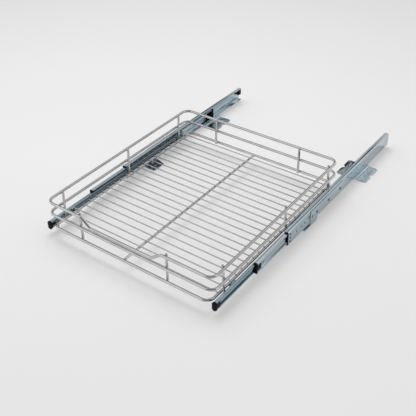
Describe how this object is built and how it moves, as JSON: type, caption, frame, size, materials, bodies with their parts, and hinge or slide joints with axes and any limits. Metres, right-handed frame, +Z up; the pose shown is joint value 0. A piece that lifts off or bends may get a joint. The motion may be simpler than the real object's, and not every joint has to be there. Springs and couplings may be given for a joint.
{
  "type": "pull-out cabinet organizer",
  "caption": "Chrome wire basket on floor-standing telescopic ball-bearing slides that pulls out of a cabinet to bring stored items forward.",
  "frame": {"origin": "on the cabinet floor, midway between the front feet, on the line of their middle screw holes", "axes": "+X to the right seen from the front, +Y back into the cabinet along the slides, +Z up"},
  "size_m": [0.528, 0.7692, 0.0942],
  "materials": {
    "chrome_wire": "polished chrome plating",
    "zinc_steel": "blue-passivated zinc plating",
    "black_plastic": "moulded, satin black",
    "bearing_steel": "bright steel",
    "fastener_steel": "zinc plated"
  },
  "bodies": {
    "cabinet_rails": {"left_cabinet_rail": "zinc_steel", "left_front_bracket": "zinc_steel", "left_rear_foot": "zinc_steel", "left_bracket_rivets": "fastener_steel", "left_foot_rivets": "fastener_steel", "left_front_guide": "black_plastic", "left_rear_bumper": "black_plastic", "right_cabinet_rail": "zinc_steel", "right_front_bracket": "zinc_steel", "right_rear_foot": "zinc_steel", "right_bracket_rivets": "fastener_steel", "right_foot_rivets": "fastener_steel", "right_front_guide": "black_plastic", "right_rear_bumper": "black_plastic"},
    "basket": {"top_ring": "chrome_wire", "middle_ring": "chrome_wire", "bottom_ring": "chrome_wire", "centre_bar": "chrome_wire", "floor_wires": "chrome_wire", "front_post_left": "chrome_wire", "front_post_right": "chrome_wire", "rear_post_left": "chrome_wire", "rear_post_right": "chrome_wire", "left_post_front": "chrome_wire", "left_post_middle": "chrome_wire", "left_post_rear": "chrome_wire", "right_post_front": "chrome_wire", "right_post_middle": "chrome_wire", "right_post_rear": "chrome_wire", "left_basket_rail": "zinc_steel", "left_end_cap": "black_plastic", "left_front_clip": "zinc_steel", "left_rear_clip": "zinc_steel", "left_clip_screws": "fastener_steel", "right_basket_rail": "zinc_steel", "right_end_cap": "black_plastic", "right_front_clip": "zinc_steel", "right_rear_clip": "zinc_steel", "right_clip_screws": "fastener_steel"},
    "left_middle_slide": {"left_middle_rail": "zinc_steel", "left_middle_front_stop": "black_plastic", "left_middle_rear_stop": "black_plastic"},
    "left_outer_bearing": {"left_outer_ball_cage": "bearing_steel", "left_outer_balls": "bearing_steel"},
    "left_inner_bearing": {"left_inner_ball_cage": "bearing_steel", "left_inner_balls": "bearing_steel"},
    "right_middle_slide": {"right_middle_rail": "zinc_steel", "right_middle_front_stop": "black_plastic", "right_middle_rear_stop": "black_plastic"},
    "right_outer_bearing": {"right_outer_ball_cage": "bearing_steel", "right_outer_balls": "bearing_steel"},
    "right_inner_bearing": {"right_inner_ball_cage": "bearing_steel", "right_inner_balls": "bearing_steel"}
  },
  "joints": [
    {"name": "basket_slide", "type": "slide", "parent": "cabinet_rails", "child": "basket", "axis": [0, -1, 0], "range_m": [-0.258, 0.242]},
    {"name": "left_middle_slide_travel", "type": "slide", "parent": "cabinet_rails", "child": "left_middle_slide", "axis": [0, -1, 0], "range_m": [-0.1291, 0.1211]},
    {"name": "left_outer_bearing_travel", "type": "slide", "parent": "cabinet_rails", "child": "left_outer_bearing", "axis": [0, -1, 0], "range_m": [-0.0646, 0.0606]},
    {"name": "left_inner_bearing_travel", "type": "slide", "parent": "cabinet_rails", "child": "left_inner_bearing", "axis": [0, -1, 0], "range_m": [-0.1936, 0.1816]},
    {"name": "right_middle_slide_travel", "type": "slide", "parent": "cabinet_rails", "child": "right_middle_slide", "axis": [0, -1, 0], "range_m": [-0.1291, 0.1211]},
    {"name": "right_outer_bearing_travel", "type": "slide", "parent": "cabinet_rails", "child": "right_outer_bearing", "axis": [0, -1, 0], "range_m": [-0.0646, 0.0606]},
    {"name": "right_inner_bearing_travel", "type": "slide", "parent": "cabinet_rails", "child": "right_inner_bearing", "axis": [0, -1, 0], "range_m": [-0.1936, 0.1816]}
  ],
  "couplings": [
    {"joint": "left_middle_slide_travel", "follows": "basket_slide", "ratio": 0.5},
    {"joint": "left_outer_bearing_travel", "follows": "basket_slide", "ratio": 0.25},
    {"joint": "left_inner_bearing_travel", "follows": "basket_slide", "ratio": 0.75},
    {"joint": "right_middle_slide_travel", "follows": "basket_slide", "ratio": 0.5},
    {"joint": "right_outer_bearing_travel", "follows": "basket_slide", "ratio": 0.25},
    {"joint": "right_inner_bearing_travel", "follows": "basket_slide", "ratio": 0.75}
  ]
}
